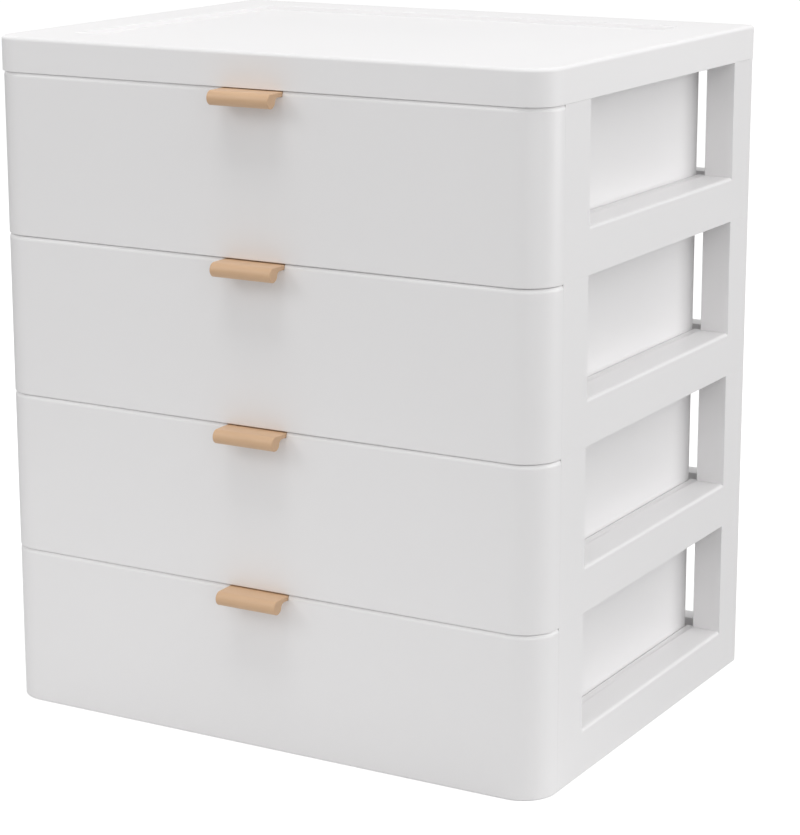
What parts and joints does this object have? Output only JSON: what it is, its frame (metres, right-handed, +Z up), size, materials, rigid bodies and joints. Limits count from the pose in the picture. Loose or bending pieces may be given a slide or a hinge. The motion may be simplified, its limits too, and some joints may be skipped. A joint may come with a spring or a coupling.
{
  "type": "desktop mini drawers",
  "caption": "Desktop organizer with stacked pull-out drawers in open-sided tiers under a flat tray-top board, with slim tan pull handles.",
  "frame": {"origin": "on the desk, at the middle of the plan with the handles included", "axes": "+Z up, +X to the right seen from the front, drawers slide out along -Y"},
  "size_m": [0.26, 0.2126, 0.29],
  "materials": {
    "white_plastic": "satin moulded white plastic",
    "tan_plastic": "satin tan plastic",
    "screw_steel": "plated steel"
  },
  "bodies": {
    "cabinet": {"top_board": "white_plastic", "tier_frame_1": "white_plastic", "tier_frame_2": "white_plastic", "tier_frame_3": "white_plastic", "tier_frame_4": "white_plastic"},
    "drawer_1": {"drawer_tub_1": "white_plastic", "drawer_front_1": "white_plastic", "handle_1": "tan_plastic", "handle_screws_1": "screw_steel"},
    "drawer_2": {"drawer_tub_2": "white_plastic", "drawer_front_2": "white_plastic", "handle_2": "tan_plastic", "handle_screws_2": "screw_steel"},
    "drawer_3": {"drawer_tub_3": "white_plastic", "drawer_front_3": "white_plastic", "handle_3": "tan_plastic", "handle_screws_3": "screw_steel"},
    "drawer_4": {"drawer_tub_4": "white_plastic", "drawer_front_4": "white_plastic", "handle_4": "tan_plastic", "handle_screws_4": "screw_steel"}
  },
  "joints": [
    {"name": "drawer_1_slide", "type": "slide", "parent": "cabinet", "child": "drawer_1", "axis": [0, -1, 0], "range_m": [0, 0.15]},
    {"name": "drawer_2_slide", "type": "slide", "parent": "cabinet", "child": "drawer_2", "axis": [0, -1, 0], "range_m": [0, 0.15]},
    {"name": "drawer_3_slide", "type": "slide", "parent": "cabinet", "child": "drawer_3", "axis": [0, -1, 0], "range_m": [0, 0.15]},
    {"name": "drawer_4_slide", "type": "slide", "parent": "cabinet", "child": "drawer_4", "axis": [0, -1, 0], "range_m": [0, 0.15]}
  ]
}
